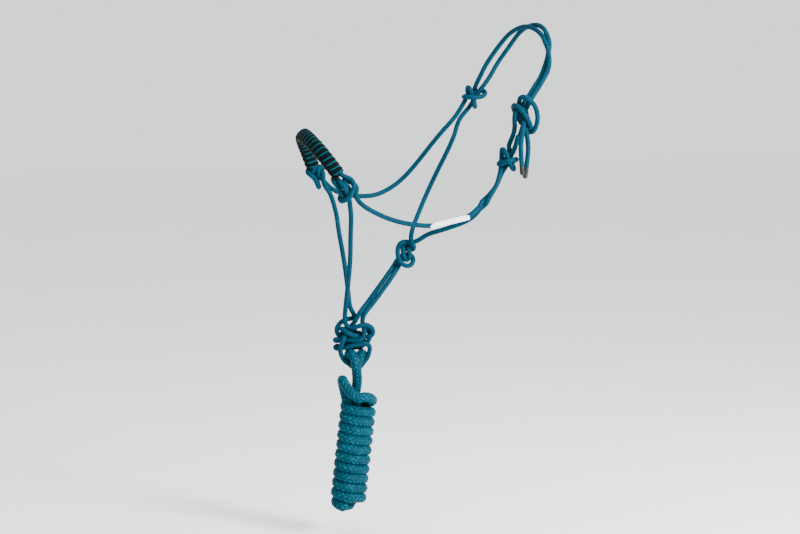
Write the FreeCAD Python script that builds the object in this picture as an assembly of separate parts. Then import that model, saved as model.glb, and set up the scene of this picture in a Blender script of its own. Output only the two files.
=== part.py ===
import FreeCAD, Part
import math
import os
from FreeCAD import Vector

# A rope halter for a horse, hanging as it is worn, with its lead rope wound into a hank.
# Millimetres. Origin: underside of the crown at the poll, where the halter rests on the head.
# +Z up, muzzle towards -X, the horse's left (near) side towards -Y.

os.makedirs("parts", exist_ok=True)

# ---------------------------------------------------------------- driving dimensions
CORD = 6.0                 # diameter of the halter cord
CORD_R = CORD / 2
LEAD = 13.6                # diameter of the lead rope
LEAD_R = LEAD / 2
WRAP_CORD = 3.75           # diameter of the two thin cords woven round the noseband
KNOT_REACH = 17.0          # nothing of a pivoting knot lies further from its centre than this
PIVOT_GAP = 0.6            # gap left between a pivoting knot and the cord that swings on it
PIVOT_REACH = KNOT_REACH + PIVOT_GAP
CORD_START = 9.0           # distance from a knot's centre at which its own cords begin
THROAT_START = 16.0        # the same for a throat cord, which leaves beside its cheek cord
LARGEST_ARC = 0.45         # share of the shorter run that an arc takes up

# Knot centres
OFF_NOSE = Vector(-288, 57, -208)
NEAR_NOSE = Vector(-290, -57, -213)
OFF_CHEEK = Vector(-57, 72, -100)
NEAR_CHEEK = Vector(-63, -72, -179)
THROAT = Vector(-183, 0, -309)
FIADOR = Vector(-259, 0, -420)
CROWN_TIE = Vector(-40, -76, -116)

# The fiador loop hangs in the plane of ACROSS and Z. The lead's eye crosses it along THROUGH.
LOOP_TURN = math.radians(-20)
ACROSS = Vector(math.cos(LOOP_TURN), math.sin(LOOP_TURN), 0)
THROUGH = Vector(-math.sin(LOOP_TURN), math.cos(LOOP_TURN), 0)
LOOP_BAR = Vector(-257, 0, -461)    # lowest point of the loop's centre line, which carries the lead
LOOP_R = 19.25             # radius of the loop's centre line, and its half width
LOOP_LEG = 11.0            # straight legs over the half circle, up to the pivot in the knot

# Cord routes, each from knot to knot
OFF_CHEEK_ROUTE = [(-272, 59, -222), (-250, 62, -231), (-225, 63, -235), (-197, 65, -233),
                   (-160, 67, -212), (-108, 70, -152)]
NEAR_CHEEK_ROUTE = [(-262, -60, -238), (-221, -63, -259), (-172, -66, -267), (-117, -69, -255),
                    (-97, -71, -237), (-80, -73, -208)]
OFF_THROAT_ROUTE = [(-91, 52, -155), (-136, 29, -219), (-165, 12, -268)]
NEAR_THROAT_ROUTE = [(-79, -64, -207), (-91, -62, -237), (-107, -50, -259), (-142, -26, -277)]
JAW_FRONT_ROUTE = [(-192, 4, -322), (-212, 4, -349), (-232, -4, -370), (-247, 3, -401)]
JAW_REAR_ROUTE = [(-187, -4, -326), (-208, -4, -356), (-225, 4, -379), (-243, -3, -408)]
OFF_CHIN_ROUTE = [(-277, 51, -228), (-268, 37, -276), (-264, 24, -318), (-262, 12, -363),
                  (-256, 5, -394)]
NEAR_CHIN_ROUTE = [(-282, -51, -232), (-275, -37, -276), (-271, -24, -315), (-272, -12, -360),
                   (-271, -5, -392)]
CROWN_FRONT_ROUTE = [(-40, 68, -52), (-26, 55, -24), (-15, 33, -5), (-3, 1, 3), (3, -33, -10),
                     (4, -58, -32), (0, -70, -56), (-28, -77, -94)]
CROWN_REAR_ROUTE = [(-20, 66, -51), (-7, 51, -26), (-1, 28, -5), (5, 0, 4), (9, -27, 1),
                    (10, -45, -16), (6, -53, -38), (-14, -66, -68), (-36, -73, -94)]

# The crown's knot at the near cheek: its turns, the two cords under it, and the two tails
FRONT_TAIL_ROUTE = [(-47, -88, -139), (-50, -88.5, -152), (-50, -89, -169), (-48.5, -89, -186)]
REAR_TAIL_ROUTE = [(-39.5, -81.5, -139), (-36, -82, -155), (-36.5, -82, -173), (-39, -82, -191)]
TIE_LOOP_FRONT = [(-50, -73, -128), (-54, -72, -145), (-59, -72, -161)]
TIE_LOOP_REAR = [(-43, -73, -128), (-46, -72, -146), (-51, -72, -165)]
TIE_RINGS = [((4, 2, 14), (0.35, 0.1, 1), 8), ((-2, 0, 8), (0.5, 0.3, 1), 9),
             ((4, -2, -1), THROUGH, 12), ((-3, 1, -4), (1, -0.3, 0.2), 9)]
FERRULE_LENGTH = 11.0
FERRULE_R = 3.4
SEAL_LENGTH = 2.4          # melted end below the ferrule

# Noseband: an arch that stands on the two nose knots
NOSEBAND_RISE = Vector(-43, 0, 75)
NOSEBAND_START = 19.0      # distance from each nose knot's centre to the end of the wrapping
ARCH_OUTLINE = [(57, NOSEBAND_START), (55, 42), (41, 67), (16, 77), (-16, 75), (-42, 63), (-56, 42),
                (-57, NOSEBAND_START)]  # across the nose and up the noseband's rise
WRAP_TURNS = 26            # dark turns along the noseband
WRAP_PROUD = 0.6           # height of the dark turns over the teal ones
WRAP_GAP = 0.2             # slack across a wrapping's bore
BAND_WIDTH = 2 * CORD + 2 * WRAP_CORD
BAND_THICKNESS = CORD + 2 * WRAP_CORD

# Label sleeve on the near cheek cord
SLEEVE_R = 3.9
SLEEVE_FROM = Vector(-172, -66, -267)
SLEEVE_TO = Vector(-117, -69, -255)

# Lead rope: an eye round the loop's bar, a short neck and a hank of turns on two core runs
EYE_OFFSET = CORD_R + 0.5 + LEAD_R  # from the loop's bar to the rope's centre, all round the eye
EYE_LEG_Z = -478           # where the eye's two legs begin to close
SPLICE_TOP_Z = -489        # where the legs lie side by side in the splice
SPLICE_END = Vector(-257, 0, -504)  # where the splice is down to one rope
NECK_ROUTE = [(-257, 0, -504), (-256.5, 0.6, -512), (-255, 1.5, -520)]
HANK_TOP = Vector(-251.5, 0, -513)
HANK_BOTTOM = Vector(-268.5, 0, -657)
HANK_CORE_TURN = math.radians(46)   # turn of the two core runs about the hank's length
HANK_LONG = 4 * LEAD       # outside of the turns across both core runs
HANK_SHORT = 3 * LEAD      # outside of the turns across one core run
HANK_ROUNDING = 9.0
BIGHT_ROUTE = [(-264, 8, -515), (-276, 4, -484), (-277, -9, -480), (-256, -22, -503), (-242, -22, -514)]


def vec(point):
    """A route point as a vector."""
    return Vector(*point)


def towards(start, end, distance):
    """The point that lies the given distance from start on the way to end."""
    step = end - start
    return start + step * (distance / step.Length)


def route_wire(points, share=LARGEST_ARC, name=None):
    """Straight runs joined by tangent arcs that are as large as the runs allow."""
    corners = []
    radii = []
    for before, point, after in zip(points, points[1:], points[2:]):
        back = (before - point)
        ahead = (after - point)
        turn = math.pi - back.getAngle(ahead)
        setback = share * min(back.Length, ahead.Length)
        radius = setback / math.tan(turn / 2)
        back.normalize()
        ahead.normalize()
        start = point + back * setback
        end = point + ahead * setback
        middle_way = back + ahead
        middle_way.normalize()
        middle = point + middle_way * (radius / math.cos(turn / 2) - radius)
        corners.append((start, middle, end))
        radii.append(radius)
    edges = []
    here = points[0]
    for start, middle, end in corners:
        if (start - here).Length > 1e-6:
            edges.append(Part.LineSegment(here, start).toShape())
        edges.append(Part.Arc(start, middle, end).toShape())
        here = end
    if (points[-1] - here).Length > 1e-6:
        edges.append(Part.LineSegment(here, points[-1]).toShape())
    if name:
        print(name, "length", round(sum(edge.Length for edge in edges), 1),
              "smallest radius", round(min(radii), 1))
    return Part.Wire(edges)


def tube(wire, radius):
    """A round cord along a wire."""
    start = wire.Edges[0]
    first = start.firstVertex(True).Point
    direction = start.tangentAt(start.FirstParameter)
    section = Part.Face(Part.Wire(Part.makeCircle(radius, first, direction)))
    solid = wire.makePipe(section)
    expected = math.pi * radius ** 2 * wire.Length
    if abs(solid.Volume - expected) > 0.01 * expected:
        print("volume differs from section times length:", solid.Volume, expected)
    return solid


def cord(name, points, radius=CORD_R):
    """A cord along hand-laid points, with its length and radii printed."""
    return tube(route_wire(points, name=name), radius)


def knot(centre, core_radius, rings):
    """Turns of cord pulled down on a core. Each ring is (offset, normal, radius)."""
    solid = Part.makeSphere(core_radius, centre)
    for offset, normal, radius in rings:
        solid = solid.fuse(Part.makeTorus(radius, CORD_R, centre + Vector(*offset), Vector(*normal)))
    return solid.removeSplitter()


def stadium(centre, long_way, short_way, length, width):
    """A closed stadium outline: two half circles joined by straight sides."""
    half = (length - width) / 2
    end_a = centre + long_way * half
    end_b = centre - long_way * half
    side = short_way * (width / 2)
    tip = long_way * (width / 2)
    return Part.Wire([
        Part.LineSegment(end_b + side, end_a + side).toShape(),
        Part.Arc(end_a + side, end_a + tip, end_a - side).toShape(),
        Part.LineSegment(end_a - side, end_b - side).toShape(),
        Part.Arc(end_b - side, end_b - tip, end_b + side).toShape(),
    ])


def knot_to_knot(start_knot, route, end_knot, start_gap=CORD_START, end_gap=CORD_START):
    """A route's points with both ends brought to their knots."""
    points = [vec(point) for point in route]
    return ([towards(start_knot, points[0], start_gap)] + points
            + [towards(end_knot, points[-1], end_gap)])


parts = {}

# ---------------------------------------------------------------- knots of the harness
def ball_knot(centre, side):
    """A compact knot that a hinge's axis runs through: three rings crossing round a core."""
    rings = [((0.6, 0, 1.1), (1, 0.2 * side, 0.55), 13.2), ((-0.9, 0.4, 0), (0.15, 1, 0.1 * side), 12.3),
             ((0, -0.5, -0.8), (0.45, 0.15 * side, -1), 11.6)]
    return knot(centre, 10.5, rings)


parts["off_nose_knot"] = ball_knot(OFF_NOSE, 1)
parts["near_nose_knot"] = ball_knot(NEAR_NOSE, -1)
parts["off_cheek_knot"] = ball_knot(OFF_CHEEK, 1)
parts["near_cheek_knot"] = ball_knot(NEAR_CHEEK, -1)
parts["throat_knot"] = knot(THROAT, 10.0, [((3, 0, 4), (0.3, 1, 0.1), 13), ((-3, 0, -6), (-0.3, 1, 0), 13),
                                           ((0, 0, 0), (-0.5, 0, 1), 12)])
parts["fiador_knot"] = knot(FIADOR, 12.0, [((-12, 4, 8), THROUGH, 12), ((13, -5, 7), THROUGH, 12),
                                           ((0, 0, -3), (0, 0, 1), 12), ((0, 0, 2), ACROSS, 14)])

# ---------------------------------------------------------------- cords of the harness
parts["off_cheek_cord"] = cord("off_cheek_cord", knot_to_knot(OFF_NOSE, OFF_CHEEK_ROUTE, OFF_CHEEK))
parts["near_cheek_cord"] = cord("near_cheek_cord", knot_to_knot(NEAR_NOSE, NEAR_CHEEK_ROUTE, NEAR_CHEEK))
off_throat_points = knot_to_knot(OFF_CHEEK, OFF_THROAT_ROUTE, THROAT, THROAT_START)
near_throat_points = knot_to_knot(NEAR_CHEEK, NEAR_THROAT_ROUTE, THROAT, THROAT_START)
parts["off_throat_cord"] = cord("off_throat_cord", off_throat_points)
parts["near_throat_cord"] = cord("near_throat_cord", near_throat_points)
parts["front_jaw_cord"] = cord("front_jaw_cord", [vec(p) for p in JAW_FRONT_ROUTE])
parts["rear_jaw_cord"] = cord("rear_jaw_cord", [vec(p) for p in JAW_REAR_ROUTE])
parts["off_chin_cord"] = cord("off_chin_cord", knot_to_knot(OFF_NOSE, OFF_CHIN_ROUTE, FIADOR, 9, 20))
parts["near_chin_cord"] = cord("near_chin_cord", knot_to_knot(NEAR_NOSE, NEAR_CHIN_ROUTE, FIADOR, 9, 20))

# The loop under the fiador knot flaps on its two ends, and the lead's eye slides along it.
loop_centre = LOOP_BAR + Vector(0, 0, LOOP_R)
leg_rise = Vector(0, 0, LOOP_LEG)
loop_left = loop_centre - ACROSS * LOOP_R
loop_right = loop_centre + ACROSS * LOOP_R
loop_wire = Part.Wire([
    Part.LineSegment(loop_left + leg_rise, loop_left).toShape(),
    Part.Arc(loop_left, LOOP_BAR, loop_right).toShape(),
    Part.LineSegment(loop_right, loop_right + leg_rise).toShape(),
])
loop_ends = [Part.makeSphere(CORD_R, end + leg_rise) for end in (loop_left, loop_right)]
parts["fiador_loop"] = tube(loop_wire, CORD_R).fuse(loop_ends).removeSplitter()

# ---------------------------------------------------------------- label sleeve
def straight_tube(start, end, outer, inner):
    """A straight tube with a round bore."""
    way = end - start
    outside = Part.makeCylinder(outer, way.Length, start, way)
    return outside.cut(Part.makeCylinder(inner, way.Length, start, way))


parts["label_sleeve"] = straight_tube(SLEEVE_FROM, SLEEVE_TO, SLEEVE_R, CORD_R)

# ---------------------------------------------------------------- crown, which folds on the cheek knots
crown_front = [vec(p) for p in CROWN_FRONT_ROUTE]
crown_rear = [vec(p) for p in CROWN_REAR_ROUTE]
crown_front.insert(0, OFF_CHEEK + Vector(6, -1, PIVOT_REACH - 1))
crown_rear.insert(0, OFF_CHEEK + Vector(14, -3, PIVOT_REACH - 6))
parts["crown_front_cord"] = cord("crown_front_cord", crown_front)
parts["crown_rear_cord"] = cord("crown_rear_cord", crown_rear)
parts["crown_tie_knot"] = knot(CROWN_TIE, 10.0, TIE_RINGS)
parts["tie_loop_front_cord"] = cord("tie_loop_front_cord", [vec(p) for p in TIE_LOOP_FRONT])
parts["tie_loop_rear_cord"] = cord("tie_loop_rear_cord", [vec(p) for p in TIE_LOOP_REAR])


# ---------------------------------------------------------------- the two free ends of the halter cord
def free_end(name, route):
    """A tail with a ball end at its pivot, a ferrule and a sealed end."""
    points = [vec(point) for point in route]
    parts[name + "_cord"] = cord(name, points).fuse(Part.makeSphere(CORD_R, points[0])).removeSplitter()
    way = points[-1] - points[-2]
    way.normalize()
    ferrule_end = points[-1] + way * FERRULE_LENGTH
    parts[name + "_ferrule"] = Part.makeCylinder(FERRULE_R, FERRULE_LENGTH, points[-1], way)
    parts[name + "_sealed_end"] = Part.makeCylinder(CORD_R, SEAL_LENGTH, ferrule_end, way)


free_end("front_tail", FRONT_TAIL_ROUTE)
free_end("rear_tail", REAR_TAIL_ROUTE)

# ---------------------------------------------------------------- noseband, which folds on the nose knots
arch_foot = (OFF_NOSE + NEAR_NOSE) * 0.5
arch_rise = Vector(NOSEBAND_RISE)
arch_rise.normalize()
knot_axis = OFF_NOSE - NEAR_NOSE
knot_axis.normalize()
band_side = knot_axis.cross(arch_rise)
band_side.normalize()
arch_across = arch_rise.cross(band_side)
arch_points = [arch_foot + arch_across * across + arch_rise * rise for across, rise in ARCH_OUTLINE]


def arch_core(side):
    """One of the two halter cords inside the noseband."""
    route = [point + band_side * side * CORD_R for point in arch_points]
    return tube(route_wire(route), CORD_R)


arch_wire = route_wire(arch_points, name="noseband")
parts["noseband_front_core"] = arch_core(1)
parts["noseband_rear_core"] = arch_core(-1)


def band_section(point, outward, length, width, hole_length, hole_width):
    """A flat ring of the band's section."""
    outer = stadium(point, band_side, outward, length, width)
    inner = stadium(point, band_side, outward, hole_length, hole_width)
    return Part.Face(outer).cut(Part.Face(inner)).Faces[0]


parts["noseband_wrap"] = arch_wire.makePipe(
    band_section(arch_points[0], arch_across, BAND_WIDTH, BAND_THICKNESS,
                 2 * CORD + WRAP_GAP, CORD + WRAP_GAP))

accent_turns = []
turn_pitch = arch_wire.Length / WRAP_TURNS
places = arch_wire.discretize(Distance=turn_pitch / 2)
for here, ahead in zip(places[0::2], places[1::2]):
    tangent = ahead - here
    tangent.normalize()
    ring_start = here + tangent * (WRAP_CORD / 4)
    face = band_section(ring_start, tangent.cross(band_side), BAND_WIDTH + 2 * WRAP_PROUD,
                        BAND_THICKNESS + 2 * WRAP_PROUD, BAND_WIDTH + WRAP_GAP, BAND_THICKNESS + WRAP_GAP)
    accent_turns.append(face.extrude(tangent * (WRAP_CORD * 0.75)))
parts["noseband_accent_wrap"] = Part.makeCompound(accent_turns)

# ---------------------------------------------------------------- lead rope
leg_drop = EYE_LEG_Z - LOOP_BAR.z
splice_drop = SPLICE_TOP_Z - LOOP_BAR.z
leg_close = LEAD_R + 0.1
eye_outline = [(-leg_close, splice_drop), (-EYE_OFFSET, leg_drop), (-EYE_OFFSET, EYE_OFFSET),
               (EYE_OFFSET, EYE_OFFSET), (EYE_OFFSET, leg_drop), (leg_close, splice_drop)]
eye_points = [LOOP_BAR + THROUGH * through + Vector(0, 0, up) for through, up in eye_outline]
parts["lead_eye"] = cord("lead_eye", eye_points, LEAD_R)

splice_top = Vector(SPLICE_END.x, SPLICE_END.y, SPLICE_TOP_Z)
splice_outline = stadium(splice_top, THROUGH, ACROSS, 2 * LEAD + 0.2, LEAD)
splice_end = Part.Wire(Part.makeCircle(LEAD_R, SPLICE_END, Vector(0, 0, 1)))
parts["lead_splice"] = Part.makeLoft([splice_outline, splice_end], True)

hank_way = HANK_BOTTOM - HANK_TOP
hank_long_way = ACROSS * math.cos(HANK_CORE_TURN) + THROUGH * math.sin(HANK_CORE_TURN)
hank_short_way = hank_way.cross(hank_long_way)
hank_short_way.normalize()
hank_long_way = hank_short_way.cross(hank_way)
hank_long_way.normalize()
hank_outline = Part.Face(stadium(HANK_TOP, hank_long_way, hank_short_way, HANK_LONG, HANK_SHORT))
hank = hank_outline.extrude(hank_way)
sides = [edge for edge in hank.Edges if abs(edge.Length - hank_way.Length) < 0.01]
rims = [edge for edge in hank.Edges if not any(edge.isSame(side) for side in sides)]
hank = hank.makeFillet(HANK_ROUNDING, rims)
bight = tube(route_wire([vec(p) for p in BIGHT_ROUTE], name="bight"), LEAD_R)
parts["lead_hank"] = hank.fuse(bight).fuse(Part.makeSphere(LEAD_R, vec(BIGHT_ROUTE[-1]))).removeSplitter()
parts["lead_neck"] = cord("lead_neck", [vec(p) for p in NECK_ROUTE], LEAD_R).cut(parts["lead_hank"])

# ---------------------------------------------------------------- write each piece
for name, shape in parts.items():
    if not shape.isValid():
        print("not valid:", name)
    shape.exportStep("parts/" + name + ".step")
    box = shape.BoundBox
    print(name, "solids", len(shape.Solids), "volume", round(shape.Volume),
          "z", round(box.ZMin, 1), round(box.ZMax, 1))
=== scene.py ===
import math

import bpy
import numpy as np
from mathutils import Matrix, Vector, kdtree


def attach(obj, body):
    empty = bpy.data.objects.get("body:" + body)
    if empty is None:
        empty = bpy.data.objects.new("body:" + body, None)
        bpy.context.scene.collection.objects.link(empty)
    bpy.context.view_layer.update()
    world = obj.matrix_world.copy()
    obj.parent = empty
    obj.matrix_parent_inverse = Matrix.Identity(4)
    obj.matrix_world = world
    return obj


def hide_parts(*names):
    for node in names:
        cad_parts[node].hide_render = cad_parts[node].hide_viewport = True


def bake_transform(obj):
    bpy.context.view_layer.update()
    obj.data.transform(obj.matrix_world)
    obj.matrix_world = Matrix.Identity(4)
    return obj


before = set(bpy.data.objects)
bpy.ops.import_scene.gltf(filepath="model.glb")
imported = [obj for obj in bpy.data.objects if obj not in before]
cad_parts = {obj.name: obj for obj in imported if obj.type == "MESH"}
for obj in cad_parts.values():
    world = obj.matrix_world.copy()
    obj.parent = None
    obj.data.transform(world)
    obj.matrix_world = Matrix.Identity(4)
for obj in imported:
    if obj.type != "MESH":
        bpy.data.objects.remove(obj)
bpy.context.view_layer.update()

# A knotted rope halter with its lead rope wound into a hank. Lengths are in millimetres and become metres
# where a mesh is made, apart from the lines of the two tails and the lead rope, which are in metres already.
MM = 0.001
VIEW_TURN, VIEW_RISE = math.radians(-20), math.radians(7)

CORD_R = 3.0
CORD_TOP = CORD_R + 0.5    # radius at the top of the braid's yarns
CORD_FINE = 0.62           # spacing of a cord's points in its mesh
CORD_AROUND = 32           # points round a cord
TAIL_FINE = 0.0006
LEAD_R = 6.8
LEAD_TOP = LEAD_R + 0.4
LEAD_FINE = 0.00095
WRAP_R = 1.9               # radius at which a wrap just touches the cores
CORE_SIDE = 3              # each core cord's distance from the middle of the noseband
WRAP_FINE = 0.48           # a wrap's advance along the noseband from one of its points to the next
WRAP_PITCH = 7.5           # and in one turn
WRAP_ENDS = 1.5            # bare noseband at each end

# Braids: yarns round the rope, the length of the pattern and the depth between yarns
CORD_BRAID = {"carriers": 16, "pitch": 2.5, "relief": 0.36}
LEAD_BRAID = {"carriers": 16, "pitch": 5.2, "relief": 1.15}
WRAP_BRAID = {"carriers": 8, "pitch": 2.0, "relief": 0.22}
YARN_END = 0.35            # height of a yarn where it passes under, as a share of its full height

# How cords settle: their points' spacing, the closest that two cords lie, the number of rounds, the shares of
# sag and bend taken out in a round, and the pull back to the route within a knot's reach and outside it
CORD_STEP = 2.0
CLOSEST = 2.13 * CORD_R
SETTLE_ROUNDS, QUICK_ROUNDS = 260, 20
SAG_SHARE, BEND_SHARE, PUSH_SHARE = 0.06, 0.3, 0.3
KNOT_REACH, KNOT_PULL, SPAN_PULL = 30, 0.02, 0.15
PAIR_ROUNDS, PAIR_MARGIN = 8, 3    # rounds between searches for cords that come close, and how far these look
LEAST_LOOP = 1.8 * CLOSEST         # length of cord between two of its own points that push apart
FURTHEST_PUSH = 1.2

# Directions in which the knots are laid out: to the right, up and towards the viewer.
RIGHT = np.array([math.cos(VIEW_TURN), math.sin(VIEW_TURN), 0.0])
UP = np.array([0.0, 0.0, 1.0])
NEAR = np.array([math.sin(VIEW_TURN), -math.cos(VIEW_TURN), 0.0])

OFF_NOSE = np.array([-287.7, 57, -207])
NEAR_NOSE = np.array([-289.5, -57, -211])
OFF_CHEEK = np.array([-56.0, 72, -99])
NEAR_CHEEK = np.array([-61.5, -72, -179])
THROAT = np.array([-182.5, 0, -309])
FIADOR = np.array([-258.0, 0, -426])
CROWN_TIE = np.array([-41.5, -76, -114.5])
LOOP_BAR = np.array([-257.0, 0, -461])
LOOP_R, LOOP_RISE = 20, 19.25    # radius of the fiador loop, and its centre's height above the bar


def spots(centre, *places):
    """Points round a knot's centre, each given as right, up and near."""
    return [centre + right * RIGHT + up * UP + near * NEAR for right, up, near in places]


def points(*places):
    """Points given in the frame itself."""
    return [np.array(place, float) for place in places]


# ------------------------------------------------------------------ routes of the halter cord
# Spans between the knots, in the frame
OFF_CHEEK_SPAN = points((-108, 70, -152), (-160, 67, -212), (-197, 65, -233), (-225, 63, -235),
                        (-250, 62, -231))
NEAR_CHEEK_SPAN = points((-221, -63, -259), (-172, -66, -267), (-145, -67, -262), (-117, -69, -255),
                         (-100, -68, -241), (-87, -65, -227.5))
OFF_THROAT_SPAN = points((-91, 52, -155), (-136, 29, -219), (-165, 12, -268))
NEAR_THROAT_SPAN = points((-142, -26, -277), (-109, -52, -262), (-98, -64, -245), (-88, -71, -229))
OFF_CHIN_SPAN = points((-268, 37, -276), (-264, 24, -318), (-262, 12, -363))
NEAR_CHIN_SPAN = points((-275, -37, -276), (-271, -24, -315), (-272, -12, -360))
JAW_LEFT_SPAN = points((-205, 2.5, -334), (-220.4, 2.5, -353.6), (-235.7, 2, -373))
JAW_RIGHT_SPAN = points((-200.4, -2.5, -337), (-215.8, -2.5, -356.6), (-231.3, -2.5, -376.2))
CROWN_FRONT_SPAN = points((-28, -77, -94), (-14, -75, -75), (0, -70, -56), (4, -58, -32), (5, -33, -9),
                          (-2, 1, 3), (-12, 33, -5), (-21.5, 55, -25), (-37, 68, -53))
CROWN_REAR_SPAN = points((-32, -72.5, -94), (-22.5, -70, -80), (-11, -66, -68), (6, -53, -38), (10, -45, -16),
                         (9, -27, 1), (5, 0, 4), (-1, 28, -5), (-7, 51, -26), (-20, 66, -51))

# Noseband: an arch on the two nose knots, with the two core cords side by side. Its points are given as
# across, rise and back, with the twist of its width at each in degrees.
ARCH_OUTLINE = [(57, 19, 0), (55, 42, 3), (41, 67, 3), (16, 76.5, 1.5), (-16, 74, -1), (-41, 61.5, -1.5),
                (-55, 42, 0), (-57.5, 16, 3)]
ARCH_TWIST = [0, 0, 8, 15, 22, 22, 10, -8]
arch_foot = np.array([-289.0, 0, -210.5])
arch_rise = np.array([-43.0, 0, 75]) / math.hypot(43, 75)
arch_side = np.cross([0.0175, 1, 0.044], arch_rise)
arch_side = arch_side / np.linalg.norm(arch_side)
arch_across = np.cross(arch_rise, arch_side)


def arch(side):
    """Points of the noseband's arch, shifted along its width, which twists on its way over the nose."""
    middle = np.array([arch_foot + arch_across * across + arch_rise * rise + arch_side * back
                       for across, rise, back in ARCH_OUTLINE])
    way = np.gradient(middle, axis=0)
    way /= np.linalg.norm(way, axis=1)[:, None]
    twist = np.radians(ARCH_TWIST)[:, None]
    return list(middle + side * (arch_side * np.cos(twist) + np.cross(way, arch_side) * np.sin(twist)))


# Strands of the knots: each tuple is right, up and near of the knot's centre, in order along the cord
off_cheek_from_front = spots(
    OFF_CHEEK, (11.7, 30, 0), (5, 17, -1), (3, 8, -5), (2.5, -4, -6), (5, -12, -5), (5, -16, 1),
    (2.5, -9, 6.5), (1, 0, 4.5), (-1.5, 9, 6.5), (-4.5, 16, 4), (-7, 14, -3), (-6, 6, -8.5))
off_cheek_to_span = spots(OFF_CHEEK, (-6, 6, -8.5), (-8, -2, -7), (-12, -9, -4), (-23.5, -28, -1))
off_cheek_from_rear = spots(
    OFF_CHEEK, (26, 30, 2), (14, 13.5, 5), (8, 7, 2), (1, 4, -1), (-8, 2, -3), (-14, 1, 1), (-10, 0, 8),
    (-2, 1, 11), (8, 0, 8.5), (15, 1, 5), (20.5, 5, 1), (19, 10, -3), (12, 10, -5), (7, 5, -9), (3, -4, -12),
    (-2, -13, -8), (-19.5, -32, -2))
near_cheek_in = spots(
    NEAR_CHEEK, (-15, -34, 3), (-10, -16, 0), (-9, -7, -6), (-8, 4, -8), (-9, 13, -4), (-7.5, 17, 3),
    (-3, 10, 6.5), (0, 1, 4.5), (4, -8, 6), (8, -15, 2), (9, -12, -4), (6, -4, -7), (3, 8, -6),
    (1.4, 19, -2))
near_cheek_out = spots(
    NEAR_CHEEK, (14.6, 36, -2), (7.2, 9, 2), (2, 4, -1), (-6, 0, -3), (-12, -4, -2), (-14.5, -7.5, 2),
    (-9, -4, 8), (1, 0, 10.5), (9, 1.4, 7), (13, 1, 0), (10, -1, -6), (3, -4, -12))
near_cheek_from_span = spots(NEAR_CHEEK, (-15, -36, -5), (-9, -20, -8), (-3, -10, -11), (3, -4, -12))
tie_eye = spots(
    CROWN_TIE, (-20, -48, -6), (-10, -24, -3), (-12.5, -8, 3), (-10, 3, 2), (-3, 8, -1), (4, 2, -5),
    (4, -10, -8), (0, -22, -9), (-7, -40, -7))
tie_from_front = points((-47.6, -88.2, -142), (-47, -88, -139)) + spots(
    CROWN_TIE, (0, -17, 9), (1, -11, 2), (-3, -6, -9), (-5, 4, -13), (-5, 14, -9), (-4.5, 19, -2),
    (-1, 22, 5), (5, 19.5, 9), (12, 14, 9), (17, 6, 8), (19.5, -5, 7), (19, -16, 5), (14, -26, 0),
    (7, -28, -7), (2, -20, -14), (2, -8, -14), (3, 4, -9), (7, 12, -3), (11.6, 19.6, 0))
tie_from_rear = points((-39, -81.6, -142), (-39.5, -81.5, -139)) + spots(
    CROWN_TIE, (1, -16, -1), (-6, -8, -14), (-12, 2, -12), (-14, 9, -5),
    (-10.5, 10, 3), (-4, 5, 8), (3, -4, 8.5), (9, -15, 7), (12, -24, 1), (8, -22, -8), (5, -10, -9),
    (2, 2, -4), (1, 10, -4), (6, 20, -4))
throat_from_off = spots(
    THROAT, (8.6, 32, 2), (6, 18, 4), (9.5, 13, 5), (12.6, 8, 2), (10, 3, -4), (3, 5, -8), (-3, 11, -5),
    (-4, 8, 1), (-3.4, 0, 3), (-3, -8, 2), (1.5, -12, -2), (5.4, -7, 1), (6, 1, 2), (3.5, 9, 0),
    (-1, 8, -8), (-3, -2, -13), (-7.5, -15, -8))
throat_from_near = spots(
    THROAT, (30, 26.5, 0), (14, 15, 0), (6, 14, -3), (-2, 17, 0), (-9, 13, 2), (-11.8, 7, 2), (-11, -1, 3),
    (-11, -7, 6), (-5, -15, 6.5), (3, -19, 4), (8.8, -16, 2), (11.4, -10, -1), (9, -4, -6), (1, -2, -13),
    (-7, -5, -13), (-13, -13, -9))
off_nose_chin = spots(
    OFF_NOSE, (23, -51, 0), (15, -22, 0), (8, -12, 2), (3.5, -3, 6), (3.7, 6, 6), (1, 13, 1), (-6, 13, -5),
    (-14, 12, -4), (-16, 9, 2), (-9.5, 5, 7), (-5, -4, 6), (-2, -12, 4), (-1, -15, -2), (-3, -8, -8),
    (-7, 3, -8), (-11, 12, -2))
off_nose_cheek = spots(
    OFF_NOSE, (25, -20, -4), (14, -14, -4), (7, -7, 0), (2, 1, 4), (-2, 9, 4), (-1, 15, -1), (3, 12, -6),
    (2, 3, -9), (-4, -3, -9), (-11, 3, -6), (-14, 10, 0), (-9, 15, 3))
near_nose_chin = spots(
    NEAR_NOSE, (8.6, -38, 0), (6.5, -22, 0), (6, -13, 4), (3, -5, 9), (-1, 2, 10.5), (-6, 8, 8), (-11, 12, 2),
    (-11, 9, -6), (-1, 5, -9), (7, -2, -9), (4, -10, -7), (1.5, -16, -5), (-3.5, -17, 0), (-4, -12, 4),
    (-5, -5, 4), (-8, 1, 5), (-12.5, 5, 5), (-16, 10, 3), (-13, 17, 0))
near_nose_cheek = spots(
    NEAR_NOSE, (27.6, -28, 0), (16, -16, -1), (12.5, -9, 2), (16, -6, 3), (17, -2, 0), (14, 3, -5),
    (7, 7, -7), (-1, 10, -6), (-4, 8, -1), (1, 6, 3), (4, 0, 5), (2, -6, 4), (-3, -10, 0), (-6, -14, -2),
    (-2.5, -17, 4), (3, -14, 9), (9, -8, 9), (12.5, -1, 5), (12.5, 6, 1), (8.5, 11.5, 0), (3, 13, 1),
    (-4, 15, 0))
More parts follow.
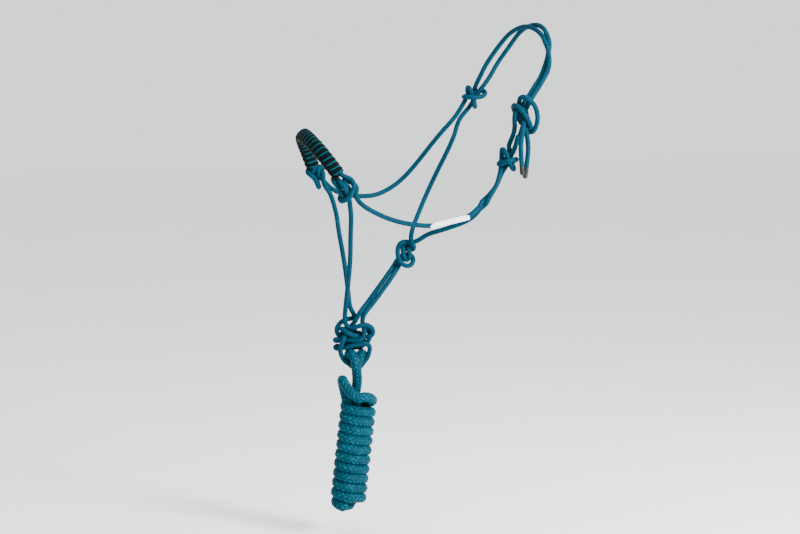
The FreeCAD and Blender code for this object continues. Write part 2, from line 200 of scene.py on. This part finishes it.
fiador_near_chin = spots(
    FIADOR, (-12, 41, 3), (-12.5, 30, 4), (-12, 21, 1), (-6, 16, 1), (2, 18, 6), (10, 22, 6), (18, 22, 3),
    (25.5, 17, 1), (27.5, 10, 0), (24, 4.5, -1), (16, 3, -2), (8, 8, -7), (-2, 12, -10))
fiador_off_chin = spots(
    FIADOR, (-6, 46, -4), (-2.5, 38.5, -5), (1, 32.5, -7), (-1, 28.5, -9), (-8, 28.5, -8), (-16, 26, -4),
    (-22.5, 20, -1), (-25, 12, 0), (-22, 6, -2), (-16, 3, -6), (-6, 0, -10), (6, -6, -9), (14, -8, -5),
    (20, -2, -3), (22, 6, -5), (21, 13, -7), (12, 18, -9))
fiador_left_jaw = spots(
    FIADOR, (8.8, 40, 3), (2, 27, 1), (-3, 19, -3), (-9, 14, -5), (-16, 14, -3), (-20, 17, 1), (-15, 15.5, 6),
    (-8, 11, 8.5), (0, 7, 8), (6, 4, 3), (11, 2, -4), (8, -3, -10), (-2, -6, -12), (-12, -6, -9),
    (-17, 1, -8), (-18, 10, -8), (-11, 14, -10))
fiador_right_jaw = spots(
    FIADOR, (13.2, 35.6, 2), (11, 27, 0), (12.5, 20, 1), (14.5, 14, 3), (14.5, 7, 4), (11, 2, 5),
    (4, -1, 5), (-4, 2, 4), (-12, 1, 3), (-20, 1, 3), (-27, 3, 2), (-28, -2, 0), (-22, -2, -5),
    (-10, 2, -11), (2, 5, -12), (10, 10, -10))
fiador_loop_left = spots(
    FIADOR, (-2, 12, -6), (-9, 9, -2), (-14, 4, 6), (-16.5, -4, 9), (-18.5, -11, 6))
fiador_loop_right = spots(
    FIADOR, (23, -9, 1), (18, -4, 3), (11, -2, 5), (3, -5, 6), (-6, -8, 4), (-13, -11, 2), (-20, -13, -1),
    (-27, -13, -2), (-28, -9, -5), (-20, -10, -9), (-8, -11, -9), (4, -11, -8), (13, -10, -6), (14, -3, -7),
    (6, 1, -10))
fiador_loop_bottom = spots(
    LOOP_BAR, *[(-LOOP_R * math.cos(math.radians(turn)), LOOP_RISE - LOOP_R * math.sin(math.radians(turn)), 0)
                for turn in range(0, 181, 30)])


# ------------------------------------------------------------------ lines
def spaced(line, step):
    """The line's points again, evenly spaced."""
    gaps = np.linalg.norm(np.diff(line, axis=0), axis=1)
    line = line[np.concatenate([[True], gaps > 1e-9])]
    along = np.concatenate([[0], np.cumsum(gaps[gaps > 1e-9])])
    at = np.linspace(0, along[-1], max(3, round(along[-1] / step) + 1))
    return np.stack([np.interp(at, along, line[:, k]) for k in range(3)], axis=1)


def spline_line(name, places, step):
    """An even line along one smooth curve with these control points."""
    curve = bpy.data.curves.new(name + "_line", "CURVE")
    curve.dimensions = "3D"
    spline = curve.splines.new("NURBS")
    spline.points.add(len(places) - 1)
    for point, place in zip(spline.points, places):
        point.co = (*[float(x) for x in place], 1)
    spline.order_u = 3
    spline.use_endpoint_u = True
    spline.resolution_u = 16
    holder = bpy.data.objects.new(name + "_line", curve)
    mesh = bpy.data.meshes.new_from_object(holder)
    line = np.array([v.co[:] for v in mesh.vertices])
    bpy.data.objects.remove(holder)
    bpy.data.curves.remove(curve)
    bpy.data.meshes.remove(mesh)
    return spaced(line, step)


def close_pairs(now, owner, place):
    """Pairs of points that may touch in the next rounds, other than neighbours along one cord."""
    tree = kdtree.KDTree(len(now))
    for i, spot in enumerate(now):
        tree.insert(spot, i)
    tree.balance()
    pairs = [(i, j) for i, spot in enumerate(now) for _, j, _ in tree.find_range(spot, CLOSEST + PAIR_MARGIN)
             if j > i and (owner[i] != owner[j] or abs(place[i] - place[j]) * CORD_STEP > LEAST_LOOP)]
    return np.array(pairs).T


def settle(lines, held, rounds):
    """Lets cords that run through each other push apart, and bends ease, while each stays near its route.
    Held are the numbers of the lines that stay where they are."""
    designed = np.concatenate(lines)
    owner = np.concatenate([np.full(len(line), i) for i, line in enumerate(lines)])
    place = np.concatenate([np.arange(len(line)) for line in lines])
    to_go = np.concatenate([np.arange(len(line))[::-1] for line in lines])
    ends = (place < 2) | (to_go < 2)
    fixed = np.isin(owner, held)
    knots = np.array([OFF_NOSE, NEAR_NOSE, OFF_CHEEK, NEAR_CHEEK, THROAT, FIADOR, CROWN_TIE])
    from_knot = np.linalg.norm(designed[:, None] - knots, axis=2).min(axis=1)
    pull = np.where(from_knot < KNOT_REACH, KNOT_PULL, SPAN_PULL)[:, None]
    now = designed.copy()
    inner = ~ends & ~fixed
    for turn in range(rounds):
        if turn % PAIR_ROUNDS == 0:
            a, b = close_pairs(now, owner, place)
        sag = np.zeros_like(now)
        sag[1:-1] = (now[:-2] + now[2:]) / 2 - now[1:-1]
        sag[ends] = 0
        bend = np.zeros_like(now)
        bend[1:-1] = (sag[:-2] + sag[2:]) / 2 - sag[1:-1]
        now[inner] += (SAG_SHARE * sag - BEND_SHARE * bend + pull * (designed - now))[inner]
        apart = now[b] - now[a]
        far = np.linalg.norm(apart, axis=1)
        overlap = np.clip(CLOSEST - far, 0, FURTHEST_PUSH)
        push = apart * (overlap / np.maximum(far, 1e-6) * PUSH_SHARE)[:, None]
        moved, count = np.zeros_like(now), np.ones(len(now))
        np.add.at(moved, a, -push)
        np.add.at(moved, b, push)
        near = (far < CLOSEST).astype(float)
        np.add.at(count, a, near)
        np.add.at(count, b, near)
        now[inner] += (moved / np.sqrt(count)[:, None])[inner]
    return [now[owner == i] for i in range(len(lines))]


# ------------------------------------------------------------------ surfaces along lines
def ways(line):
    """The way along a line at each of its points."""
    way = np.gradient(line, axis=0)
    return way / np.linalg.norm(way, axis=1)[:, None]


def lengths_along(line):
    """Each point's distance from the line's start."""
    return np.concatenate([[0], np.cumsum(np.linalg.norm(np.diff(line, axis=0), axis=1))])


def carried(line):
    """The ways across a line, turned as little as possible from one point to the next."""
    way = ways(line)
    side = np.zeros_like(line)
    side[0] = np.cross(way[0], [0.31, 0.2, 0.93])
    side[0] /= np.linalg.norm(side[0])
    for i in range(1, len(line)):
        across = side[i - 1] - way[i] * (side[i - 1] @ way[i])
        side[i] = across / np.linalg.norm(across)
    return side, np.cross(way, side)


def braid_height(across, along, carriers):
    """Height of the braid's surface, from 0 in the gaps to 1 on top of a yarn."""
    one, two = across * carriers / (4 * np.pi) + along, across * carriers / (4 * np.pi) - along
    i, j = np.floor(two + 1e-6), np.floor(one + 1e-6)
    over = np.mod(i + j, 4)
    first = over < 2
    wide = np.where(first, two - i, one - j)
    length = np.where(first, (over + one - j) / 2, (over - 2 + two - i) / 2)
    return np.cos(np.pi * (wide - 0.5)) * (YARN_END + (1 - YARN_END) * np.sin(np.pi * length))


def tube_mesh(name, line, radii, around, slot, body, material, carriers=0, pitch=1.0, relief=0.0, flat=False,
              flatten=None):
    """A closed tube along a line, with this many points around it, braided if it has carriers. Its UV map is
    the braid's own grid, and its ends are round unless they are flat. Flatten is a way at each point, as long
    as the share by which the tube is wider that way."""
    side, up = carried(line)
    along = lengths_along(line)
    turn = np.linspace(0, 2 * np.pi, around, endpoint=False)
    radii = np.broadcast_to(radii, len(line)).astype(float).copy()
    height = np.zeros((len(line), around))
    if carriers:
        height = braid_height(turn[None, :], along[:, None] / pitch, carriers)
    reach = radii[:, None] - relief * (1 - height)
    if not flat:
        from_end = np.minimum(along, along[-1] - along) / radii
        reach *= np.sqrt(1 - np.clip(0.97 - from_end, 0, 1) ** 2)[:, None]
    ring = side[:, None] * np.cos(turn)[:, None] + up[:, None] * np.sin(turn)[:, None]
    offset = ring * reach[..., None]
    if flatten is not None:
        offset += flatten[:, None] * (offset * flatten[:, None]).sum(axis=2, keepdims=True)
    places = (line[:, None] + offset).reshape(-1, 3) * MM
    n = len(line)
    k = np.arange(around)
    rows = np.arange(n - 1)[:, None] * around
    after = (k + 1) % around
    quads = np.stack([rows + k, rows + after, rows + around + after, rows + around + k], axis=-1)
    caps = [list(range(around))[::-1], list(range((n - 1) * around, n * around))]
    faces = quads.reshape(-1, 4).tolist() + caps
    mesh = bpy.data.meshes.new(name)
    mesh.from_pydata(places.tolist(), [], faces)
    columns = np.stack([k, k + 1, k + 1, k], axis=-1) * (max(carriers, 4) / (2 * around))
    lengths = np.stack([along[:-1], along[:-1], along[1:], along[1:]], axis=-1) / pitch
    grid = np.zeros((n - 1, around, 4, 2))
    grid[..., 0] = columns[None]
    grid[..., 1] = lengths[:, None]
    uv = mesh.uv_layers.new(name="grid")
    uv.data.foreach_set("uv", np.concatenate([grid.reshape(-1), np.zeros(4 * around)]))
    mesh.shade_smooth()
    mesh.materials.append(material)
    made = bpy.data.objects.new(name, mesh)
    bpy.context.scene.collection.objects.link(made)
    if body:
        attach(made, body)
    return made


# ------------------------------------------------------------------ materials
class Nodes:
    """A material's nodes, with its sums written as calls."""

    def __init__(self, name, **shader):
        self.material = bpy.data.materials.new(name)
        self.material.use_nodes = True
        self.tree = self.material.node_tree
        self.shader = self.tree.nodes["Principled BSDF"]
        for socket, value in shader.items():
            self.shader.inputs[socket.replace("_", " ")].default_value = value

    def add(self, kind, settings=(), **sockets):
        """A new node, with its settings and what goes into its sockets."""
        node = self.tree.nodes.new(kind)
        for key, value in dict(settings).items():
            setattr(node, key, value)
        for key, value in sockets.items():
            self.put(value, node.inputs[key.replace("_", " ")])
        return node

    def put(self, value, socket):
        """Gives a socket a value, or links it to another node's."""
        if isinstance(value, bpy.types.NodeSocket):
            self.tree.links.new(value, socket)
        else:
            socket.default_value = value

    def sum(self, operation, *values):
        """One sum of a maths node."""
        node = self.add("ShaderNodeMath", {"operation": operation})
        for value, socket in zip(values, node.inputs):
            self.put(value, socket)
        return node.outputs[0]

    def spread(self, value, low, high, to_low, to_high):
        """The value, moved from the range low to high into the range to_low to to_high."""
        node = self.add("ShaderNodeMapRange")
        for given, socket in zip((value, low, high, to_low, to_high), node.inputs):
            self.put(given, socket)
        return node.outputs[0]

    def mix(self, share, one, two):
        """Two colours, with this share of the second."""
        node = self.add("ShaderNodeMix", {"data_type": "RGBA"})
        for value, socket in zip((share, one, two), (node.inputs[0], node.inputs[6], node.inputs[7])):
            self.put(value, socket)
        return node.outputs[2]

    def noise(self, scale, detail):
        """Noise fixed to the object."""
        node = self.add("ShaderNodeTexNoise", Scale=scale, Detail=detail)
        self.put(self.add("ShaderNodeTexCoord").outputs["Object"], node.inputs["Vector"])
        return node.outputs[0]

    def bump(self, height, strength, distance, under=None):
        """The surface's normal with this height on it, over another bump if one is given."""
        node = self.add("ShaderNodeBump", Height=height, Strength=strength, Distance=distance)
        if under is not None:
            self.put(under, node.inputs["Normal"])
        return node.outputs[0]


def colour(red, green, blue):
    """A colour on a screen, 0 to 255, as light."""
    return (*[((x / 255 + 0.055) / 1.055) ** 2.4 if x > 10 else x / 3300 for x in (red, green, blue)], 1)


def rope_material(name, deep, plain, bright, filaments=5, sheen=0.01):
    """Braided polyester: yarns that pass two over and two under, each of fine filaments. Deep is the colour
    of the painted shade between yarns and between filaments and of uneven wear, plain that of the yarns' tops
    and bright that of a painted highlight on some yarns' tops, and of the sheen and the grain."""
    n = Nodes(name, Roughness=0.5, Sheen_Weight=sheen, Sheen_Roughness=0.45, Specular_IOR_Level=0.06)
    n.shader.inputs["Sheen Tint"].default_value = bright
    grid = n.add("ShaderNodeSeparateXYZ", Vector=n.add("ShaderNodeUVMap", {"uv_map": "grid"}).outputs[0])
    one = n.sum("ADD", grid.outputs[0], grid.outputs[1])
    two = n.sum("SUBTRACT", grid.outputs[0], grid.outputs[1])
    i, j = n.sum("FLOOR", two), n.sum("FLOOR", one)
    over = n.sum("FLOORED_MODULO", n.sum("ADD", i, j), 4.0)
    first = n.sum("LESS_THAN", over, 1.5)
    second = n.sum("SUBTRACT", 1.0, first)
    wide_one, wide_two = n.sum("FRACT", one), n.sum("FRACT", two)
    wide = n.sum("ADD", n.sum("MULTIPLY", wide_two, first), n.sum("MULTIPLY", wide_one, second))
    begun = n.sum("SUBTRACT", over, n.sum("MULTIPLY", second, 2.0))
    part = n.sum("ADD", n.sum("MULTIPLY", wide_one, first), n.sum("MULTIPLY", wide_two, second))
    length = n.sum("DIVIDE", n.sum("ADD", begun, part), 2.0)
    ridge = n.sum("SINE", n.sum("MULTIPLY", wide, math.pi))
    crest = n.sum("ADD", n.sum("MULTIPLY", n.sum("SINE", n.sum("MULTIPLY", length, math.pi)), 0.6), 0.4)
    height = n.sum("MULTIPLY", ridge, crest)
    # Every yarn has a number, and 57 keeps those of the two directions apart
    yarn = n.sum("ADD", n.sum("MULTIPLY", i, first), n.sum("MULTIPLY", n.sum("ADD", j, 57.0), second))
    by_yarn = n.add("ShaderNodeTexWhiteNoise", {"noise_dimensions": "1D"}, W=yarn).outputs[0]
    strands = n.sum("SINE", n.sum("MULTIPLY", wide, 2 * math.pi * filaments))
    wander = n.noise(34.0, 4.0)
    grain = n.noise(1500.0, 2.0)
    # Painted shade in the gaps and plain tops, with a painted highlight on some yarns' tops, then uneven
    # wear, painted shade between filaments, and grain
    tone = n.mix(n.spread(height, 0.12, 0.85, 0.0, 1.0), deep, plain)
    # A painted highlight on the tops of some yarns, chosen at random
    lit = n.sum("MULTIPLY", n.spread(by_yarn, 0.0, 1.0, 0.0, 0.4), height)
    tone = n.mix(lit, tone, bright)
    tone = n.mix(n.spread(wander, 0.3, 0.7, 0.0, 0.32), tone, deep)
    # Painted shade in the grooves between the filaments
    tone = n.mix(n.spread(strands, -1.0, 1.0, 0.16, 0.0), tone, deep)
    n.put(n.mix(n.spread(grain, 0.35, 0.7, 0.0, 0.2), tone, bright), n.shader.inputs["Base Color"])
    under = n.bump(strands, 0.35, 0.00012)
    under = n.bump(height, 0.5, 0.0004, under)
    n.put(n.bump(grain, 0.25, 0.00008, under), n.shader.inputs["Normal"])
    return n.material


def plain_material(name, base, other, roughness, metallic=0.0, scale=60.0, bump=0.00003):
    """A smooth surface whose tone and roughness wander a little."""
    n = Nodes(name, Metallic=metallic)
    wander, fine = n.noise(scale, 4.0), n.noise(scale * 18, 3.0)
    n.put(n.mix(n.spread(wander, 0.3, 0.7, 0.0, 1.0), base, other), n.shader.inputs["Base Color"])
    n.put(n.spread(fine, 0.3, 0.7, roughness - 0.15, roughness + 0.15), n.shader.inputs["Roughness"])
    n.put(n.bump(fine, 0.4, bump), n.shader.inputs["Normal"])
    return n.material


# Each rope's colours: the painted shade between yarns, the yarns' tops, and the painted highlight on some
# yarns
halter_teal = rope_material("halter_teal", colour(0, 20, 32), colour(0, 58, 78), colour(0, 90, 116))
lead_teal = rope_material("lead_teal", colour(0, 18, 30), colour(0, 54, 72), colour(0, 114, 132), filaments=7)
band_teal = rope_material("band_teal", colour(0, 22, 28), colour(0, 56, 68), colour(10, 100, 112))
band_dark = rope_material("band_dark", colour(0, 1, 1), colour(1, 2, 2), colour(6, 8, 9), sheen=0.0)
sleeve_white = plain_material("sleeve_white", colour(236, 238, 240), colour(222, 225, 228), 0.42)
ferrule_metal = plain_material("ferrule_metal", colour(44, 46, 44), colour(28, 30, 28), 0.5, metallic=0.75)
sealed_black = plain_material("sealed_black", colour(6, 6, 7), colour(13, 13, 14), 0.5, bump=0.0001)


# ------------------------------------------------------------------ the halter's cords
def smooth(line):
    """The line with its corners between points rounded off."""
    for _ in range(2):
        cut = np.empty((2 * len(line), 3))
        cut[0], cut[-1] = line[0], line[-1]
        cut[1:-1:2] = line[:-1] * 0.75 + line[1:] * 0.25
        cut[2:-1:2] = line[:-1] * 0.25 + line[1:] * 0.75
        line = cut
    return line


def rope(name, line):
    """A braided halter cord along a settled line."""
    made = tube_mesh(name, spaced(smooth(line), CORD_FINE), CORD_TOP, CORD_AROUND, "halter_cord", None,
                     halter_teal, **CORD_BRAID)
    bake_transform(made)
    return made


# Each cord's whole route, from end to end
muzzle = (fiador_off_chin[::-1] + OFF_CHIN_SPAN[::-1] + off_nose_chin + arch(-CORE_SIDE)
          + near_nose_chin[::-1] + NEAR_CHIN_SPAN + fiador_near_chin)
cheeks = (off_cheek_to_span + OFF_CHEEK_SPAN + off_nose_cheek + arch(CORE_SIDE)
          + near_nose_cheek[::-1] + NEAR_CHEEK_SPAN + near_cheek_from_span)
crown_front = tie_from_front + CROWN_FRONT_SPAN + off_cheek_from_front
crown_rear = (tie_from_rear + CROWN_REAR_SPAN + off_cheek_from_rear + OFF_THROAT_SPAN
              + throat_from_off + JAW_RIGHT_SPAN + fiador_right_jaw)
throat = (fiador_left_jaw[::-1] + JAW_LEFT_SPAN[::-1] + throat_from_near[::-1] + NEAR_THROAT_SPAN
          + near_cheek_in + tie_eye + near_cheek_out)
loop_strand = fiador_loop_left + fiador_loop_bottom + fiador_loop_right

# The two free tails, in metres
FRONT_TAIL = [(-0.047, -0.088, -0.139), (-0.050, -0.0885, -0.152), (-0.050, -0.089, -0.169),
              (-0.0485, -0.089, -0.186)]
REAR_TAIL = [(-0.0395, -0.0815, -0.139), (-0.036, -0.082, -0.155), (-0.0365, -0.082, -0.173),
             (-0.039, -0.082, -0.191)]
front_tail_line = spline_line("front_tail", FRONT_TAIL, TAIL_FINE)
rear_tail_line = spline_line("rear_tail", REAR_TAIL, TAIL_FINE)

routes = {"muzzle": muzzle, "cheeks": cheeks, "crown_front": crown_front, "crown_rear": crown_rear,
          "throat": throat, "loop_strand": loop_strand}
lines = [spline_line(name, route, CORD_STEP) for name, route in routes.items()]
tails = [spaced(line / MM, CORD_STEP) for line in (front_tail_line, rear_tail_line)]
held = [len(lines), len(lines) + 1]
lines = settle(lines + tails, held, SETTLE_ROUNDS)
muzzle_line, cheeks_line, front_line, rear_line, throat_line, loop_line = lines[:len(routes)]

muzzle_rope = rope("muzzle_rope", muzzle_line)
cheek_rope = rope("cheek_rope", cheeks_line)
crown_front_rope = rope("crown_front_rope", front_line)
crown_rear_rope = rope("crown_rear_rope", rear_line)
throat_rope = rope("throat_rope", throat_line)
loop_rope = rope("loop_rope", loop_line)
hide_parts("off_chin_cord", "near_chin_cord", "off_nose_knot", "near_nose_knot",
            "noseband_front_core")
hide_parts("off_cheek_cord", "near_cheek_cord", "noseband_rear_core")
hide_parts("crown_front_cord", "crown_tie_knot")
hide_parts("crown_rear_cord", "off_cheek_knot", "off_throat_cord", "throat_knot",
            "rear_jaw_cord")
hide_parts("near_throat_cord", "near_cheek_knot", "front_jaw_cord", "tie_loop_front_cord",
            "tie_loop_rear_cord")
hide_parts("fiador_loop", "fiador_knot")


# ------------------------------------------------------------------ the two free tails of the crown cords
# A ferrule's profile, as distances past the cord's end and radii: a lip at each end and two pressed grooves
FERRULE_AT = [-1.5, -1.0, -0.4, 0.2, 1.2, 2.2, 3.0, 7.6, 8.4, 9.4, 10.2, 10.8, 11.2]
FERRULE_RADII = [3.0, 3.32, 3.42, 3.44, 3.4, 3.16, 3.36, 3.36, 3.16, 3.4, 3.44, 3.36, 2.9]
TIP_FROM, TIP_ROUND_FROM, TIP_TO = 10.5, 11.4, 13.4
TIP_R, TIP_ROUNDING = 2.95, 2.2
END_AROUND = 40            # points round a ferrule or a tip


def tail(name, line, body):
    """A free end: its cord, a metal ferrule pressed on it and its sealed tip."""
    cord = tube_mesh(name + "_rope", line / MM, CORD_TOP, CORD_AROUND, "halter_cord", body, halter_teal,
                     flat=True, **CORD_BRAID)
    end = line[-1] / MM
    way = (line[-1] - line[-8]) / np.linalg.norm(line[-1] - line[-8])
    stations = range(len(FERRULE_AT))
    steps = np.linspace(0, stations[-1], 97)
    at = np.interp(steps, stations, FERRULE_AT)
    wide = np.interp(steps, stations, FERRULE_RADII)
    ferrule = tube_mesh(name + "_crimp", end + at[:, None] * way, wide, END_AROUND, "ferrule", body,
                        ferrule_metal, flat=True)
    at = np.linspace(TIP_FROM, TIP_TO, 30)
    rounding = np.clip((at - TIP_ROUND_FROM) / TIP_ROUNDING, 0, 0.96)
    wide = TIP_R * np.sqrt(1 - rounding ** 2) + 0.06 * np.sin(at * 9)
    tip = tube_mesh(name + "_tip", end + at[:, None] * way, wide, END_AROUND, "sealed_end", body,
                    sealed_black, flat=True)
    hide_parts(name + "_cord")
    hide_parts(name + "_ferrule")
    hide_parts(name + "_sealed_end")
    return cord, ferrule, tip


front_tail = tail("front_tail", front_tail_line, "front_tail")
rear_tail = tail("rear_tail", rear_tail_line, "rear_tail")


# ------------------------------------------------------------------ noseband wraps
def wrap_line(start_turn, tuck, proud):
    """The middle of one wrap, its turn at each point and the way along the arch there: a helix that hugs both
    cores. It stands proud of them, and tucks in behind the front edge."""
    centre = spline_line("arch", arch(0), 1.0)
    way = ways(centre)
    along = lengths_along(centre)
    at = np.arange(WRAP_ENDS, along[-1] - WRAP_ENDS, WRAP_FINE)
    turn = start_turn - 2 * np.pi * (at - WRAP_ENDS) / WRAP_PITCH
    middle = np.stack([np.interp(at, along, centre[:, k]) for k in range(3)], axis=1)
    forward = np.stack([np.interp(at, along, way[:, k]) for k in range(3)], axis=1)
    edge = spline_line("edge", arch(CORE_SIDE), 1.0)
    share = np.linspace(0, 1, len(edge))
    edge = np.stack([np.interp(at / along[-1], share, edge[:, k]) for k in range(3)], axis=1)
    wide = edge - middle
    wide -= forward * (wide * forward).sum(axis=1)[:, None]
    wide /= np.linalg.norm(wide, axis=1)[:, None]
    thick = np.cross(forward, wide)
    hug = CORD_R + WRAP_R + proud
    tucked = tuck * np.clip(-np.cos(turn), 0, 1) ** 5
    over = CORE_SIDE * np.tanh(4 * np.cos(turn)) + hug * np.cos(turn) - tucked
    lift = hug * np.sin(turn)
    return middle + wide * over[:, None] + thick * lift[:, None], turn, forward


# Each wrap strand: its piece, its node, where its turns start, its looks and its radius, then how much fuller
# it is along the noseband's front edge, how far it tucks in there and how much wider it spreads there
WRAPS = [("teal_wrap_strand", "noseband_wrap", 0.0, band_teal, "teal_wrap", 1.75, -0.5, -1.2, 0.0),
         ("dark_wrap_strand", "noseband_accent_wrap", math.pi, band_dark, "dark_wrap", 1.95, 0.3, 0.4, 1.1)]
for name, node, start, material, slot, plain, fuller, tuck, wider in WRAPS:
    line, turn, forward = wrap_line(start, tuck, plain - WRAP_R)
    front_edge = np.clip(-np.cos(turn), 0, 1) ** 4
    fullness = plain + fuller * front_edge
    spread_out = forward * (0.05 + wider * front_edge)[:, None]
    strand = tube_mesh(name, line, fullness, 20, slot, "noseband", material,
                       flatten=spread_out, **WRAP_BRAID)
    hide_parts(node)


# ------------------------------------------------------------------ label sleeve, left blank
SLEEVE_FROM, SLEEVE_TO = np.array([-172.0, -66, -267]), np.array([-117.0, -69, -255])
SLEEVE_R = 3.85
SLEEVE_ROUNDING = [0.35, 0.16, 0.06, 0.02]
share = np.linspace(0, 1, 140)
sleeve_line = SLEEVE_FROM + share[:, None] * (SLEEVE_TO - SLEEVE_FROM)
sleeve_wide = SLEEVE_R + 0.05 * np.sin(share * 23) + 0.03 * np.sin(share * 61 + 1)
sleeve_wide[:4] -= SLEEVE_ROUNDING
sleeve_wide[-4:] -= SLEEVE_ROUNDING[::-1]
sleeve = tube_mesh("label_tube", sleeve_line, sleeve_wide, 48, "sleeve", "harness", sleeve_white, flat=True)
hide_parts("label_sleeve")


# ------------------------------------------------------------------ lead rope: eye, neck, and a hank of turns
def lead_spots(*places):
    """Points in metres round the bar of the fiador loop, given as right, up and near in millimetres."""
    return [tuple(spot * MM) for spot in spots(LOOP_BAR, *places)]


EYE = lead_spots((2.5, 0, 7), (6, 11, 6), (9.5, 17, -1), (11, 12, -9), (9.5, 4, -12.5), (5, -2.5, -13),
                 (-2, -2.5, -13), (-7, 4, -12.5), (-8.5, 12, -9), (-7.5, 17, -2), (-4, 16.5, 4), (0, 11, 9.5),
                 (2, 2, 11.5), (3, -8, 10.5), (3.6, -20, 6), (2, -33, 2))
NECK = [(-0.257, 0, -0.504), (-0.2565, 0.0006, -0.512), (-0.255, 0.0015, -0.520)]
CORE = [(-0.2475, 0.0035, -0.527), (-0.2465, 0.0045, -0.545), (-0.2555, 0.0035, -0.630),
        (-0.2600, 0.0030, -0.649), (-0.2640, 0.0015, -0.657), (-0.2720, -0.0015, -0.657),
        (-0.2755, -0.0032, -0.648), (-0.2695, -0.0030, -0.600), (-0.2640, -0.0025, -0.545)]
BIGHT = [(-0.2692, 0.0003, -0.5093), (-0.2695, 0.0075, -0.4990), (-0.2725, 0.0075, -0.4860),
         (-0.2760, -0.0015, -0.4785), (-0.2750, -0.0110, -0.4850), (-0.2680, -0.0170, -0.4965),
         (-0.2590, -0.0210, -0.5035), (-0.2500, -0.0215, -0.5015), (-0.2390, -0.0165, -0.5055),
         (-0.2330, -0.0060, -0.5115)]

# Turns of the hank round its core: where they start and end, their number, the points and the drop of each,
# and the last part of a turn, which closes in. A turn is longer across the core's two legs than through them.
HANK_TOP, HANK_BOTTOM, HANK_HEIGHT = np.array([-0.2515, 0, -0.513]), np.array([-0.2685, 0, -0.657]), 0.144
HANK_TURNS, TURN_POINTS, FIRST_POINT, FIRST_DROP, TURN_DROP = 10.9, 16, 2, -0.0015, 0.0132
CLOSING_FROM, CLOSING, CLOSING_DROP = 10.1, 0.32, 0.002
TURN_R, LEG_SIDE, TURN_TILT = 0.0139, 0.0068, 0.13
LONG_TURN = math.radians(46)
long_way = RIGHT * math.cos(LONG_TURN) - NEAR * math.sin(LONG_TURN)
short_way = np.cross(UP, long_way)
turns = []
for k in range(FIRST_POINT, round(HANK_TURNS * TURN_POINTS)):
    angle = 2 * math.pi * k / TURN_POINTS - LONG_TURN
    closing = max(0, k / TURN_POINTS - CLOSING_FROM)
    drop = FIRST_DROP + TURN_DROP * k / TURN_POINTS + CLOSING_DROP * closing
    round_way = TURN_R * (1 - CLOSING * closing)
    middle = HANK_TOP + (HANK_BOTTOM - HANK_TOP) * (drop / HANK_HEIGHT)
    across = (long_way * (LEG_SIDE * math.tanh(3 * math.cos(angle)) + round_way * math.cos(angle))
              + short_way * round_way * math.sin(angle))
    turns.append(middle + across - UP * (0.001 + TURN_TILT * (across @ RIGHT)))
LEAD_POINTS = points(*EYE, *NECK, *CORE, *BIGHT) + turns
lead_line = spline_line("lead", LEAD_POINTS, LEAD_FINE)
hank_way = (HANK_BOTTOM - HANK_TOP) / np.linalg.norm(HANK_BOTTOM - HANK_TOP)
# Below this height the turns press on each other, which makes each one thicker along the hank
PACKED_BELOW, PACKED_SHARE = -0.518, 0.21
packed = np.clip((PACKED_BELOW - lead_line[:, 2]) / 0.01, 0, 1)[:, None] * hank_way * PACKED_SHARE
lead_rope = tube_mesh("lead_rope", lead_line / MM, LEAD_TOP, 48, "lead_rope", "lead", lead_teal,
                      flatten=packed, **LEAD_BRAID)
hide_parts("lead_eye", "lead_splice", "lead_neck", "lead_hank")


# ------------------------------------------------------------------ floor, light and camera
floor_material = plain_material("floor_paper", colour(250, 250, 250), colour(246, 247, 247), 0.85,
                                scale=4.0, bump=0)
FLOOR_SIZE, FLOOR_HEIGHT = 14, -0.70
CAMERA_DISTANCE = 2.6
target = Vector((-0.191, 0, -0.328))
bpy.ops.mesh.primitive_plane_add(size=FLOOR_SIZE, location=(target.x, 0, FLOOR_HEIGHT))
floor = bpy.context.object
floor.name = "floor"
floor.data.materials.append(floor_material)


def lamp(name, place, aim, power, size):
    """An area light at a place, turned to what it lights."""
    data = bpy.data.lights.new(name, "AREA")
    data.energy, data.size = power, size
    made = bpy.data.objects.new(name, data)
    bpy.context.scene.collection.objects.link(made)
    made.location = place
    made.rotation_euler = (Vector(aim) - Vector(place)).to_track_quat("-Z", "Y").to_euler()
    return made


lights = [lamp("key", (0.75, -1.4, 0.35), target, 85, 0.5),
          lamp("top", (-0.2, -0.3, 1.6), target, 30, 1.4)]
world = bpy.data.worlds.new("studio")
world.use_nodes = True
world.node_tree.nodes["Background"].inputs["Color"].default_value = (0.96, 0.98, 1.0, 1)
world.node_tree.nodes["Background"].inputs["Strength"].default_value = 1.45
bpy.context.scene.world = world
lens = bpy.data.cameras.new("camera")
lens.lens, lens.sensor_width = 85, 36
camera = bpy.data.objects.new("camera", lens)
bpy.context.scene.collection.objects.link(camera)
back = Vector((*NEAR[:2] * math.cos(VIEW_RISE), math.sin(VIEW_RISE)))
camera.location = target + back * CAMERA_DISTANCE
camera.rotation_euler = (target - camera.location).to_track_quat("-Z", "Y").to_euler()
bpy.context.scene.camera = camera
